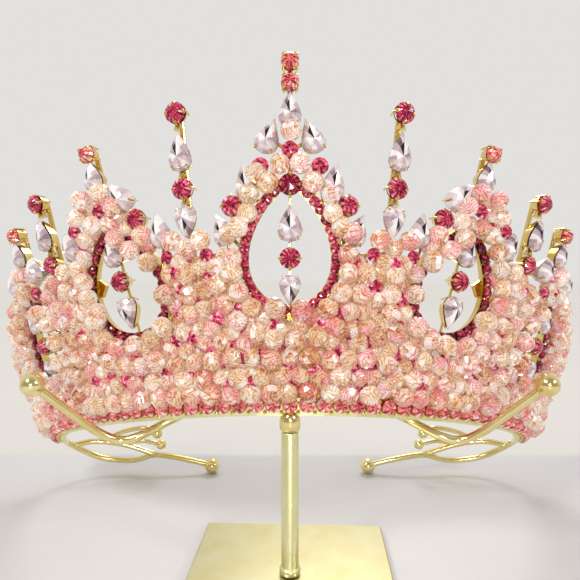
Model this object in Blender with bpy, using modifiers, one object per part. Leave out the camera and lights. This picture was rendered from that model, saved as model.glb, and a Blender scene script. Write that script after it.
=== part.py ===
# Jewelled tiara held by a small display stand.
# Lengths in the tables are millimetres, angles are degrees, and the mesh is in metres.
# The tiara is a flared ring, open at the back: a place on it is an angle round the head
# (theta, 0 at the front), a height up its slanting wall (slant) and a distance out of it (out).

import math

import bmesh
import bpy
from mathutils import Matrix, Vector

MM = 0.001
GAP = 0.3

# The flared ring and how it leans back on its stand.
RIM_RADIUS = 66.7
FLARE = math.radians(22.0)
SIDE_FLARE = math.radians(6.0)
LEAN_BACK = math.radians(25.0)
RIM_FRONT_Y = -1.7
RIM_FRONT_Z = 35.0
RIM_END = 80.0

# Layers through the wall, from the inside out.
METAL_BACK = -1.9
METAL_FRONT = -1.0
RING_FRONT = 0.1
STONE_BACK = 0.0
WALL_BACK = -0.5
WALL_FRONT = 2.9

# The lower band with its row of stones.
BAND_BOTTOM = -0.7
BAND_TOP = 5.5
BAND_STEPS = 28
RIM_STONE_WIDTH = 3.1
RIM_STONE_SLANT = 1.7
RIM_STONE_PITCH = 2.8
RIM_STONES_PER_SIDE = 28

# The beaded wall.
WALL_BOTTOM = 3.6
WALL_ROWS = 2
LEG_BOTTOM = 5.8

# How high the beaded wall reaches round one half: theta, slant.
WALL_TOP = (
    (0.0, 50.0),
    (3.0, 49.5),
    (4.5, 47.0),
    (5.5, 44.0),
    (6.5, 41.5),
    (7.5, 38.2),
    (9.0, 36.5),
    (11.0, 34.8),
    (14.3, 34.4),
    (17.3, 35.0),
    (19.3, 37.0),
    (21.7, 39.0),
    (23.8, 43.5),
    (25.8, 48.3),
    (28.8, 49.0),
    (30.6, 47.5),
    (32.4, 43.0),
    (34.3, 37.5),
    (36.3, 34.5),
    (39.5, 33.5),
    (42.3, 32.5),
    (44.2, 35.0),
    (46.0, 39.5),
    (48.5, 41.0),
    (51.0, 39.5),
    (53.5, 36.0),
    (57.0, 32.5),
    (62.0, 29.0),
    (68.0, 25.0),
    (74.0, 20.0),
    (80.0, 14.0),
)

# Arches: name, sides it stands on, theta and slant of the middle of its opening, half the
# opening's width and height, how far its top leans out from the front, and theta and slant
# of the top of its neck.
ARCHES = (
    ("centre", (0,), 0.0, 32.5, 8.1, 11.5, 0.0, 0.0, 68.4),
    ("middle", (-1, 1), 25.9, 28.0, 8.0, 10.3, 6.0, 27.9, 56.6),
    ("outer", (-1, 1), 48.5, 20.5, 7.2, 10.2, 6.0, 47.6, 47.9),
)
ARCH_BAND = 2.0
ARCH_POINTS = 20

# Stones soldered round the arches: arch, kind, theta from the front, slant, lean of the point
# away from the front, width, height.
CREST_STONES = (
    ("centre", "square", 0.0, 63.6, 0.0, 3.5, 3.5),
    ("centre", "square", 0.0, 67.6, 0.0, 3.5, 3.5),
    ("centre", "pear", 3.0, 53.4, -19.0, 4.5, 7.4),
    ("centre", "pear", 6.4, 46.6, 0.0, 4.2, 6.6),
    ("centre", "round", 7.9, 40.1, 0.0, 4.1, 4.1),
    ("centre", "pear", 10.3, 36.5, 12.0, 4.2, 6.8),
    ("middle", "square", 27.9, 55.8, 0.0, 3.4, 3.4),
    ("middle", "pear", 23.8, 45.6, 36.0, 4.2, 7.4),
    ("middle", "pear", 34.3, 38.5, 15.0, 4.0, 6.8),
    ("middle", "pear", 18.4, 37.2, 5.0, 4.3, 7.4),
    ("outer", "square", 47.6, 47.2, 0.0, 3.4, 3.4),
    ("outer", "pear", 44.6, 37.4, 8.0, 4.0, 6.4),
    ("outer", "pear", 52.9, 37.4, 20.0, 4.0, 6.4),
)

# Main stones, each a piece of its own: name, frame, kind, theta, slant, lean, width, height.
MAIN_STONES = (
    ("arch_centre_apex_stone", "arch_centre", "round", 0.0, 44.0, 0.0, 4.2, 4.2),
    ("arch_centre_finial_teardrop", "arch_centre", "pear", 0.0, 58.4, 0.0, 4.3, 6.8),
    ("arch_centre_drop_teardrop_upper", "arch_centre", "pear", 0.0, 36.7, 0.0, 4.3, 7.4),
    ("arch_centre_drop_stone", "arch_centre", "round", 0.0, 29.9, 0.0, 4.1, 4.1),
    ("arch_centre_drop_teardrop_lower", "arch_centre", "pear", 0.0, 23.95, 180.0, 4.2, 5.4),
    ("arch_middle_apex_stone", "arch_middle", "round", 21.7, 40.2, 0.0, 4.1, 4.1),
    ("arch_middle_finial_teardrop", "arch_middle", "pear", 27.5, 50.9, 0.0, 4.1, 6.2),
    ("arch_middle_drop_teardrop_upper", "arch_middle", "pear", 26.5, 34.8, 6.0, 4.1, 6.6),
    ("arch_middle_drop_stone", "arch_middle", "round", 26.0, 28.5, 0.0, 4.0, 4.0),
    ("arch_middle_drop_teardrop_lower", "arch_middle", "pear", 25.4, 21.9, 186.0, 4.1, 7.0),
    ("arch_outer_finial_teardrop", "arch_outer", "pear", 47.7, 42.4, 0.0, 4.0, 6.2),
    ("arch_outer_drop_teardrop_upper", "arch_outer", "pear", 49.1, 26.6, 6.0, 4.0, 6.2),
    ("arch_outer_drop_stone", "arch_outer", "round", 48.6, 20.3, 0.0, 3.9, 3.9),
    ("arch_outer_drop_teardrop_lower", "arch_outer", "pear", 48.1, 14.2, 186.0, 4.0, 6.2),
    ("spike_inner_top_stone", "spike_inner", "round", 14.3, 59.4, 0.0, 4.2, 4.2),
    ("spike_inner_teardrop_upper", "spike_inner", "pear", 14.3, 51.9, 0.0, 4.3, 8.0),
    ("spike_inner_middle_stone", "spike_inner", "round", 14.3, 44.5, 0.0, 4.2, 4.2),
    ("spike_inner_teardrop_lower", "spike_inner", "pear", 14.3, 37.7, 180.0, 4.2, 7.0),
    ("spike_outer_top_stone", "spike_outer", "round", 39.5, 50.4, 0.0, 4.1, 4.1),
    ("spike_outer_teardrop", "spike_outer", "pear", 39.5, 43.2, 0.0, 4.1, 7.4),
    ("spike_outer_lower_stone", "spike_outer", "round", 39.5, 36.2, 0.0, 4.1, 4.1),
)

# Spikes: name, theta, slant of the stem's top.
SPIKES = (
    ("spike_inner", 14.3, 60.4),
    ("spike_outer", 39.5, 51.4),
)

STONE_DEPTH = 2.5
STONE_GIRDLE = 0.55
TABLE_SHARE = 0.55
BACK_SHARE = 0.62
STEM_WIDTH = 1.3
PRONG = 0.7

# The stand.
PLATE_SIDE = 41.0
PLATE_THICK = 2.0
PLATE_YAW = -2.7
POST_RADIUS = 1.72
COLLAR_RADIUS = 2.1
COLLAR_HEIGHT = 1.2
CAP_BOTTOM = 31.2
WIRE_RADIUS = 0.85
BALL_RADIUS = 2.25

# Half of the cradle beyond the place where it leaves the band: x, y, z.
CRADLE_ARM = (
    (30.6, 3.2, 28.9),
    (34.6, 2.6, 28.3),
    (38.4, 0.9, 30.6),
    (43.0, -2.0, 35.6),
    (48.0, -5.2, 41.4),
)

# End of the tiara on one side: the lower wire, the branch above it and two scrolls.
END_WIRE = (
    (64.6, 49.8, 11.6),
    (62.0, 53.2, 8.2),
    (57.0, 55.2, 5.2),
    (51.0, 56.0, 4.0),
    (46.0, 56.2, 4.2),
    (40.6, 56.2, 5.6),
    (32.0, 56.0, 4.4),
    (23.6, 56.0, 2.4),
)
END_BRANCH = (
    (63.6, 51.4, 10.2),
    (58.0, 53.6, 10.6),
    (50.0, 55.0, 9.2),
    (40.6, 56.1, 5.7),
)
END_SCROLL_UPPER = (
    (56.0, 54.0, 10.3),
    (50.0, 53.6, 13.4),
    (43.0, 53.2, 14.8),
    (39.4, 53.0, 13.2),
)
END_SCROLL_LOWER = (
    (50.0, 55.0, 9.2),
    (44.0, 54.6, 10.4),
    (38.6, 54.4, 9.4),
)
SCROLL_BALL = 1.5


def clear_scene():
    for obj in list(bpy.data.objects):
        bpy.data.objects.remove(obj, do_unlink=True)


def make_collection(name):
    group = bpy.data.collections.new(name)
    bpy.context.scene.collection.children.link(group)
    return group


def make_material(name, colour, roughness, metallic):
    material = bpy.data.materials.new(name)
    material.use_nodes = True
    shader = material.node_tree.nodes["Principled BSDF"]
    shader.inputs["Base Color"].default_value = (*colour, 1.0)
    shader.inputs["Roughness"].default_value = roughness
    shader.inputs["Metallic"].default_value = metallic
    return material


def polished_gold():
    return make_material("polished_gold", (0.86, 0.66, 0.27), 0.18, 1.0)


def satin_gold():
    return make_material("satin_gold", (0.80, 0.68, 0.33), 0.32, 1.0)


def rose_crystal():
    return make_material("rose_crystal", (0.78, 0.14, 0.28), 0.08, 0.0)


def clear_crystal():
    return make_material("clear_crystal", (0.86, 0.78, 0.84), 0.05, 0.0)


def blush_bead():
    return make_material("blush_bead", (0.93, 0.62, 0.56), 0.15, 0.0)


# Places on the flared ring, which flares a little more at its sides.
def flare_at(angle):
    return FLARE + SIDE_FLARE * math.sin(angle) ** 2


def on_crown(theta, slant, out):
    angle = math.radians(theta)
    flare = flare_at(angle)
    radius = RIM_RADIUS + slant * math.sin(flare) + out * math.cos(flare)
    height = slant * math.cos(flare) - out * math.sin(flare)
    across = radius * math.sin(angle)
    behind = RIM_RADIUS - radius * math.cos(angle)
    y = RIM_FRONT_Y + behind * math.cos(LEAN_BACK) + height * math.sin(LEAN_BACK)
    z = RIM_FRONT_Z - behind * math.sin(LEAN_BACK) + height * math.cos(LEAN_BACK)
    return Vector((across, y, z)) * MM


def crown_axes(theta):
    angle = math.radians(theta)
    lean = LEAN_BACK
    flare = flare_at(angle)
    across = Vector(
        (math.cos(angle), math.sin(angle) * math.cos(lean), -math.sin(angle) * math.sin(lean))
    )
    up = Vector(
        (
            math.sin(flare) * math.sin(angle),
            math.cos(flare) * math.sin(lean) - math.sin(flare) * math.cos(angle) * math.cos(lean),
            math.cos(flare) * math.cos(lean) + math.sin(flare) * math.cos(angle) * math.sin(lean),
        )
    )
    return across, up, across.cross(up)


def seat(theta, slant, out, lean=0.0):
    """A frame on the wall: X round the head, Y up the wall, Z out of it."""
    across, up, face = crown_axes(theta)
    frame = Matrix((across, up, face)).transposed().to_4x4()
    frame.translation = on_crown(theta, slant, out)
    side = -1.0 if theta < 0.0 else 1.0
    return frame @ Matrix.Rotation(math.radians(-lean * side), 4, "Z")


# Small tools.
def add_object(name, bm, group, material=None, frame=None):
    mesh = bpy.data.meshes.new(name)
    bm.to_mesh(mesh)
    bm.free()
    if material is not None:
        mesh.materials.append(material)
    obj = bpy.data.objects.new(name, mesh)
    group.objects.link(obj)
    if frame is not None:
        obj.matrix_world = frame
    return obj


def make_helper(obj):
    obj.hide_render = True
    obj.display_type = "WIRE"
    return obj


def join_pieces(base, pieces):
    """Solders the pieces to the base as one body."""
    group = bpy.data.collections.new(base.name + "_joined")
    helpers.children.link(group)
    for piece in pieces:
        for other in list(piece.users_collection):
            other.objects.unlink(piece)
        group.objects.link(piece)
        make_helper(piece)
    union = base.modifiers.new("joined", "BOOLEAN")
    union.operation = "UNION"
    union.solver = "EXACT"
    union.operand_type = "COLLECTION"
    union.collection = group
    return base


def cut_away(base, group):
    cut = base.modifiers.new("cut", "BOOLEAN")
    cut.operation = "DIFFERENCE"
    cut.solver = "EXACT"
    cut.operand_type = "COLLECTION"
    cut.collection = group


def smooth_path(points, steps):
    """A curve through the points, Catmull-Rom."""
    points = [Vector(point) for point in points]
    ends = [points[0] * 2 - points[1]] + points + [points[-1] * 2 - points[-2]]
    path = []
    for index in range(1, len(ends) - 2):
        a, b, c, d = ends[index - 1 : index + 3]
        bend = 2 * a - 5 * b + 4 * c - d
        twist = 3 * b - a - 3 * c + d
        for step in range(steps):
            t = step / steps
            path.append(b + ((c - a) * t + bend * t**2 + twist * t**3) / 2)
    path.append(points[-1])
    return path


def curve_to_mesh(curve_object, name, group):
    """A curve takes no Boolean, so it becomes a mesh with its caps welded."""
    bpy.context.view_layer.update()
    graph = bpy.context.evaluated_depsgraph_get()
    mesh = bpy.data.meshes.new_from_object(curve_object.evaluated_get(graph))
    bm = bmesh.new()
    bm.from_mesh(mesh)
    bmesh.ops.remove_doubles(bm, verts=bm.verts, dist=0.00001)
    bmesh.ops.recalc_face_normals(bm, faces=bm.faces)
    place = curve_object.matrix_world.copy()
    bpy.data.objects.remove(curve_object)
    return add_object(name, bm, group, frame=place)


def wire(name, points, radius, group):
    """A round wire along points in metres."""
    curve = bpy.data.curves.new(name + "_path", "CURVE")
    curve.dimensions = "3D"
    curve.bevel_depth = radius
    curve.bevel_resolution = 2
    curve.use_fill_caps = True
    spline = curve.splines.new("POLY")
    spline.points.add(len(points) - 1)
    for point, place in zip(spline.points, points):
        point.co = (*place, 1.0)
    obj = bpy.data.objects.new(name + "_path", curve)
    group.objects.link(obj)
    return curve_to_mesh(obj, name, group)


def ball(name, centre, radius, group, sides=10):
    bm = bmesh.new()
    bmesh.ops.create_uvsphere(bm, u_segments=sides, v_segments=sides * 2 // 3, radius=radius)
    return add_object(name, bm, group, frame=Matrix.Translation(centre))


def bar(name, start, end, width, thick, face, group):
    """A flat bar between two places, its flat side towards face."""
    along = (end - start).normalized()
    face = (face - along * face.dot(along)).normalized()
    frame = Matrix((along.cross(face), along, face)).transposed().to_4x4()
    frame.translation = (start + end) / 2
    bm = bmesh.new()
    bmesh.ops.create_cube(bm, size=1.0)
    bmesh.ops.scale(bm, vec=(width, (end - start).length, thick), verts=bm.verts)
    return add_object(name, bm, group, frame=frame)


def wall_bar(name, start, end, group, width=STEM_WIDTH, back=METAL_BACK, front=METAL_FRONT):
    """A bar in the metal layer of the wall, between two (theta, slant) places."""
    middle = (back + front) / 2
    face = crown_axes((start[0] + end[0]) / 2)[2]
    a = on_crown(start[0], start[1], middle)
    b = on_crown(end[0], end[1], middle)
    return bar(name, a, b, width * MM, (front - back) * MM, face, group)


# Outlines.
def pear_point(turn, half_width, half_height, pinch):
    """A point of a pear outline in its own plane; turn 0 is the pointed top."""
    widest = 0.82 if pinch < 1.0 else 0.66
    x = half_width / widest * math.sin(turn) * abs(math.sin(turn / 2)) ** pinch
    return Vector((x, half_height * math.cos(turn)))


def pear_outline(half_width, half_height, pinch, grow, count):
    """The outline, moved out by grow all round."""
    points = []
    for index in range(count):
        turn = 2 * math.pi * index / count
        before = pear_point(turn - 0.05, half_width, half_height, pinch)
        after = pear_point(turn + 0.05, half_width, half_height, pinch)
        along = (after - before).normalized()
        place = pear_point(turn, half_width, half_height, pinch)
        points.append(place + Vector((-along.y, along.x)) * grow)
    return points


def flat_shape(name, outlines, thick, group):
    """A flat plate from closed outlines in millimetres; the inner ones are holes."""
    curve = bpy.data.curves.new(name + "_outline", "CURVE")
    curve.dimensions = "2D"
    curve.fill_mode = "BOTH"
    curve.extrude = thick / 2 * MM
    for outline in outlines:
        spline = curve.splines.new("POLY")
        spline.points.add(len(outline) - 1)
        for point, place in zip(spline.points, outline):
            point.co = (place[0] * MM, place[1] * MM, 0.0, 1.0)
        spline.use_cyclic_u = True
    obj = bpy.data.objects.new(name + "_outline", curve)
    group.objects.link(obj)
    return curve_to_mesh(obj, name, group)


def bend_on_crown(obj, theta, slant, lean, out):
    """Lays a flat shape on the flared wall round (theta, slant)."""
    side = -1.0 if theta < 0.0 else 1.0
    radius = RIM_RADIUS + slant * math.sin(FLARE)
    for vertex in obj.data.vertices:
        x, y, z = vertex.co / MM
        x += y * math.tan(math.radians(lean)) * side
        vertex.co = on_crown(theta + math.degrees(x / radius), slant + y, out + z)
    return obj


# Stones. Each is a tapering back, a girdle, sloping facets and a flat table.
def stone_mesh(kind, width, height, depth, grow=0.0):
    sides = {"round": 8, "square": 8, "pear": 10}[kind]
    girdle = STONE_GIRDLE * depth
    bm = bmesh.new()
    bmesh.ops.create_cone(
        bm, cap_ends=True, segments=sides, radius1=BACK_SHARE, radius2=1.0, depth=girdle
    )
    bmesh.ops.translate(bm, verts=bm.verts, vec=(0.0, 0.0, girdle / 2))
    table = max(bm.faces, key=lambda face: face.calc_center_median().z)
    bmesh.ops.inset_individual(bm, faces=[table], thickness=0.0, depth=0.0, use_even_offset=False)
    for vertex in table.verts:
        vertex.co.x *= TABLE_SHARE
        vertex.co.y *= TABLE_SHARE
        vertex.co.z = depth
    for vertex in bm.verts:
        share = math.hypot(vertex.co.x, vertex.co.y)
        turn = math.atan2(vertex.co.x, vertex.co.y)
        if kind == "pear":
            edge = pear_point(turn % (2 * math.pi), width / 2 + grow, height / 2 + grow, 1.1)
            middle = Vector((0.0, -0.12 * height))
            vertex.co.x = (edge.x - middle.x) * share + middle.x
            vertex.co.y = (edge.y - middle.y) * share + middle.y
        else:
            squareness = 1.0 + (0.12 * abs(math.sin(2 * turn)) if kind == "square" else 0.0)
            vertex.co.x *= (width / 2 + grow) * squareness
            vertex.co.y *= (height / 2 + grow) * squareness
    bmesh.ops.scale(bm, vec=(MM, MM, MM), verts=bm.verts)
    bmesh.ops.recalc_face_normals(bm, faces=bm.faces)
    return bm


def stone(name, kind, theta, slant, lean, width, height, out, group, material=None):
    bm = stone_mesh(kind, width, height, STONE_BACK + STONE_DEPTH - out)
    return add_object(name, bm, group, material, seat(theta, slant, out, lean))


def stone_clearance(name, kind, theta, slant, lean, width, height, group):
    """A prism a little larger than a stone, to keep the beaded wall off it."""
    if kind == "pear":
        outline = pear_outline(width / 2, height / 2, 1.1, 0.45, 10)
    else:
        outline = pear_outline(width / 2 + 0.5, height / 2 + 0.5, 0.0, 0.0, 8)
    prism = flat_shape(name, [outline], 12.0, group)
    prism.matrix_world = seat(theta, slant, 1.0, lean)
    return make_helper(prism)


def cup(name, kind, theta, slant, lean, width, height, group):
    """The metal under a main stone: a plate under a teardrop, or a cross with four prongs."""
    base = METAL_FRONT - 0.3
    top = STONE_BACK - GAP
    if kind == "pear":
        bm = bmesh.new()
        bmesh.ops.create_cone(
            bm, cap_ends=True, segments=6, radius1=1.0, radius2=1.0, depth=(top - base) * MM
        )
        for vertex in bm.verts:
            turn = math.atan2(vertex.co.x, vertex.co.y) % (2 * math.pi)
            edge = pear_point(turn, width / 2 * 0.78, height / 2 * 0.86, 1.1)
            vertex.co.x = edge.x * MM
            vertex.co.y = edge.y * MM
        return [add_object(name, bm, group, frame=seat(theta, slant, (top + base) / 2, lean))]
    reach = width / 2 + GAP + PRONG / 2
    frame = seat(theta, slant, 0.0, lean)
    face = crown_axes(theta)[2]
    pieces = []
    for index in range(2):
        turn = math.pi / 2 * index
        across = Vector((math.cos(turn), math.sin(turn), 0.0))
        layer = Vector((0.0, 0.0, (base + top) / 2 - 0.05 * index))
        ends = [frame @ ((across * reach * way + layer) * MM) for way in (-1, 1)]
        pieces.append(bar(f"{name}_arm{index}", *ends, 0.6 * MM, (top - base) * MM, face, group))
        for way in (-1, 1):
            foot = frame @ ((across * reach * way + Vector((0.0, 0.0, base + 0.1))) * MM)
            tip = frame @ ((across * reach * way + Vector((0.0, 0.0, 1.5))) * MM)
            prong = bar(
                f"{name}_prong{index}{way}", foot, tip, PRONG * MM, PRONG * MM, ends[1] - ends[0], group
            )
            pieces.append(prong)
    return pieces


# The stand.
def base_plate():
    bm = bmesh.new()
    bmesh.ops.create_cube(bm, size=1.0)
    bmesh.ops.scale(bm, vec=(PLATE_SIDE * MM, PLATE_SIDE * MM, PLATE_THICK * MM), verts=bm.verts)
    plate = add_object("stand_base_plate", bm, parts, gold_satin)
    plate.location = (0.0, 0.0, PLATE_THICK / 2 * MM)
    plate.rotation_euler = (0.0, 0.0, math.radians(PLATE_YAW))
    edge = plate.modifiers.new("edge", "BEVEL")
    edge.width = 0.35 * MM
    edge.segments = 1


def turned(name, profile, steps, group, material=None):
    """A turned piece from (radius, height) points, top to bottom."""
    bm = bmesh.new()
    points = [bm.verts.new((radius * MM, 0.0, height * MM)) for radius, height in profile]
    for a, b in zip(points, points[1:]):
        bm.edges.new((a, b))
    obj = add_object(name, bm, group, material)
    screw = obj.modifiers.new("turn", "SCREW")
    screw.steps = steps
    screw.render_steps = steps
    screw.use_merge_vertices = True
    screw.merge_threshold = 0.00001
    return obj


def stand_post():
    bottom = PLATE_THICK + GAP
    top = CAP_BOTTOM - GAP
    profile = (
        (0.0, top),
        (POST_RADIUS, top),
        (POST_RADIUS, bottom + COLLAR_HEIGHT),
        (COLLAR_RADIUS, bottom + COLLAR_HEIGHT - 0.25),
        (COLLAR_RADIUS, bottom),
        (0.0, bottom),
    )
    turned("stand_post", profile, 16, parts, gold_satin)


def cradle_path(side):
    """Behind the lower band from the middle, under it, then forward and up to the ball."""
    inner = METAL_BACK - GAP - WIRE_RADIUS
    points = [on_crown(side * theta, 0.2, inner) / MM for theta in (0.0, 6.0, 12.0, 18.0)]
    points.append(on_crown(side * 22.5, -1.2, inner + 0.2) / MM)
    points += [Vector((side * x, y, z)) for x, y, z in CRADLE_ARM]
    return [point * MM for point in smooth_path(points, 2)]


def stand_cradle():
    profile = (
        (0.0, 35.4),
        (0.9, 35.2),
        (1.55, 34.7),
        (1.95, 33.9),
        (2.08, 33.0),
        (2.08, 31.7),
        (1.9, CAP_BOTTOM),
        (0.0, CAP_BOTTOM),
    )
    cap = turned("stand_cradle", profile, 12, parts, gold_polished)
    pieces = []
    for side in (-1, 1):
        path = cradle_path(side)
        pieces.append(wire(f"cradle_wire_{side}", path, WIRE_RADIUS * MM, helpers))
        pieces.append(ball(f"cradle_ball_{side}", path[-1], BALL_RADIUS * MM, helpers))
    join_pieces(cap, pieces)
    saddle = bpy.data.collections.new("saddle")
    helpers.children.link(saddle)
    slot = strip(
        "saddle_slot", -8.0, 8.0, BAND_BOTTOM - GAP, BAND_TOP, METAL_BACK - GAP, -0.5, 6, saddle
    )
    make_helper(slot)
    cut_away(cap, saddle)


# The tiara.
def strip(name, first, last, bottom, top, back, front, steps, group, material=None):
    """A bent strip of the wall."""
    bm = bmesh.new()
    bmesh.ops.create_cube(bm, size=1.0)
    long_edges = [edge for edge in bm.edges if abs(edge.verts[0].co.x - edge.verts[1].co.x) > 0.5]
    bmesh.ops.subdivide_edges(bm, edges=long_edges, cuts=steps - 1, use_grid_fill=True)
    for vertex in bm.verts:
        x, y, z = vertex.co
        theta = first + (last - first) * (x + 0.5)
        slant = bottom + (top - bottom) * (y + 0.5)
        vertex.co = on_crown(theta, slant, back + (front - back) * (z + 0.5))
    return add_object(name, bm, group, material)


def rim_band():
    band = strip(
        "rim_band",
        -RIM_END,
        RIM_END,
        BAND_BOTTOM,
        BAND_TOP,
        METAL_BACK,
        -0.8,
        BAND_STEPS,
        parts,
        gold_polished,
    )
    stones = []
    for index in range(-RIM_STONES_PER_SIDE, RIM_STONES_PER_SIDE + 1):
        bm = bmesh.new()
        radius = RIM_STONE_WIDTH / 2 * MM
        bmesh.ops.create_cone(
            bm, cap_ends=True, segments=8, radius1=radius, radius2=radius * 0.6, depth=1.9 * MM
        )
        place = seat(index * RIM_STONE_PITCH, RIM_STONE_SLANT, -0.1)
        stones.append(add_object(f"rim_stone_{index}", bm, helpers, frame=place))
    join_pieces(band, stones)


def wall_top(theta):
    theta = abs(theta)
    for (t0, s0), (t1, s1) in zip(WALL_TOP, WALL_TOP[1:]):
        if theta <= t1:
            return s0 + (s1 - s0) * (theta - t0) / (t1 - t0)
    return WALL_TOP[-1][1]


def bead_wall(name, side):
    """One half of the beaded wall; its scalloped top follows the arches."""
    bm = bmesh.new()
    bmesh.ops.create_grid(bm, x_segments=len(wall_columns) - 1, y_segments=WALL_ROWS, size=0.5)
    for vertex in bm.verts:
        theta = wall_columns[round((vertex.co.x + 0.5) * (len(wall_columns) - 1))]
        share = vertex.co.y + 0.5
        slant = WALL_BOTTOM + (wall_top(theta) - WALL_BOTTOM) * share
        vertex.co = on_crown(side * theta, slant, (WALL_BACK + WALL_FRONT) / 2)
    if side < 0:
        bmesh.ops.reverse_faces(bm, faces=bm.faces)
    wall = add_object(name, bm, parts, bead_blush)
    shell = wall.modifiers.new("shell", "SOLIDIFY")
    shell.thickness = (WALL_FRONT - WALL_BACK) * MM
    shell.offset = 0.0
    cut_away(wall, wall_cutters)


def centre_line(arch, way, count, grow):
    """Places round an arch band as (theta, slant)."""
    name, sides, theta, slant, half_width, half_height, lean, neck_theta, neck_slant = arch
    radius = RIM_RADIUS + slant * math.sin(FLARE)
    places = []
    for x, y in pear_outline(half_width, half_height, 0.7, grow, count):
        x += y * math.tan(math.radians(lean)) * way
        places.append((theta * way + math.degrees(x / radius), slant + y))
    return places


def side_name(name, side):
    if side == 0:
        return name
    return name + ("_left" if side < 0 else "_right")


def gap_between(a, b):
    return (on_crown(a[0], a[1], 0.0) - on_crown(b[0], b[1], 0.0)).length / MM


def arch_frame(arch, side):
    """An arch: its pear-shaped band, the stem of its drop, its leg, neck and crest."""
    name, sides, theta, slant, half_width, half_height, lean, neck_theta, neck_slant = arch
    way = side if side else 1
    full = side_name("arch_" + name, side)
    outer = pear_outline(half_width, half_height, 0.7, ARCH_BAND, ARCH_POINTS)
    inner = pear_outline(half_width, half_height, 0.7, 0.0, ARCH_POINTS)
    ring = flat_shape(full + "_frame", [outer, inner], RING_FRONT - METAL_BACK, parts)
    bend_on_crown(ring, theta * way, slant, lean, (RING_FRONT + METAL_BACK) / 2)
    ring.data.materials.append(gold_polished)
    # the stem of the drop crosses the opening, the leg goes down behind the wall
    slope = math.degrees(math.tan(math.radians(lean)) / (RIM_RADIUS + slant * math.sin(FLARE)))
    top = (way * (theta + slope * half_height), slant + half_height + 1.0)
    bottom = (way * (theta - slope * half_height), slant - half_height - 1.0)
    foot = (way * (theta - slope * (half_height + 6.0)), LEG_BOTTOM)
    neck = (way * neck_theta, neck_slant)
    pieces = [
        wall_bar(full + "_stem", bottom, top, helpers, width=1.0, back=METAL_BACK + 0.1),
        wall_bar(full + "_leg", foot, bottom, helpers, width=2.4, back=METAL_BACK + 0.05),
        wall_bar(full + "_neck", (top[0], top[1] - 0.6), neck, helpers, back=METAL_BACK + 0.13),
    ]
    if name == "middle":
        # a small tab behind the outer edge
        tab_start = (way * (theta + 6.6), slant + 2.0)
        tab_end = (way * (theta + 4.6), slant - 0.4)
        tab = wall_bar(full + "_tab", tab_start, tab_end, helpers, width=3.2, back=METAL_BACK + 0.16)
        pieces.append(tab)
    # places an arm can start from: the band and the neck
    places = centre_line(arch, way, 60, ARCH_BAND / 2)
    for index in range(13):
        share = index / 12
        places.append((top[0] + (neck[0] - top[0]) * share, top[1] + (neck[1] - top[1]) * share))

    def add_arm(label, end, layer):
        start = min(places, key=lambda place: gap_between(place, end))
        if gap_between(start, end) > 0.5:
            pieces.append(wall_bar(label, start, end, helpers, width=1.1, back=METAL_BACK + layer))

    for index, row in enumerate(CREST_STONES):
        crest, kind, at, height_at, tilt, width, height = row
        if crest != name:
            continue
        for mirror in (-1, 1) if side == 0 and at > 0.0 else (way,):
            label = f"{full}_crest{index}_{mirror}"
            add_arm(label + "_arm", (mirror * at, height_at), 0.02 * (index % 4 + 2))
            low = METAL_FRONT - 0.25
            shape = (kind, mirror * at, height_at, tilt, width, height)
            pieces.append(stone(label + "_stone", *shape, low, helpers))
            if height_at - height / 2 < wall_top(at) + 6.0:
                stone_clearance(label + "_room", *shape, wall_cutters)
    for own in MAIN_STONES:
        if own[1] == "arch_" + name:
            add_cup_and_stone(own, side, way, full, pieces)
            if "_drop_" not in own[0]:
                add_arm(own[0] + "_arm", (way * own[3], own[4]), 0.15)
    join_pieces(ring, pieces)
    clear = pear_outline(half_width, half_height, 0.7, ARCH_BAND + GAP + 0.1, ARCH_POINTS)
    hole = flat_shape(full + "_hole", [clear], 12.0, wall_cutters)
    bend_on_crown(hole, theta * way, slant, lean, 1.0)
    make_helper(hole)


def add_cup_and_stone(row, side, way, full, pieces):
    """The stone as its own piece, its metal among the frame's pieces, and room for it in the wall."""
    name, frame_name, kind, theta, slant, lean, width, height = row
    material = rose if kind == "round" else crystal
    whole = name.replace(frame_name, full, 1) if side else name
    out = RING_FRONT + GAP if name == "arch_centre_apex_stone" else STONE_BACK
    place = (kind, way * theta, slant, lean)
    stone(whole, *place, width, height, out, parts, material)
    pieces.extend(cup(whole + "_cup", *place, width, height, helpers))
    if "_drop_" not in name and slant - height / 2 < wall_top(theta) + 6.0:
        spare = 0.0 if kind == "pear" else 2 * PRONG
        stone_clearance(whole + "_room", *place, width + spare, height + spare, wall_cutters)


def spike(row, side):
    name, theta, top = row
    full = side_name(name, side)
    stem = wall_bar(full + "_stem", (side * theta, LEG_BOTTOM), (side * theta, top), parts)
    stem.data.materials.append(gold_polished)
    pieces = []
    for own in MAIN_STONES:
        if own[1] == name:
            add_cup_and_stone(own, side, side, full, pieces)
    join_pieces(stem, pieces)


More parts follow.
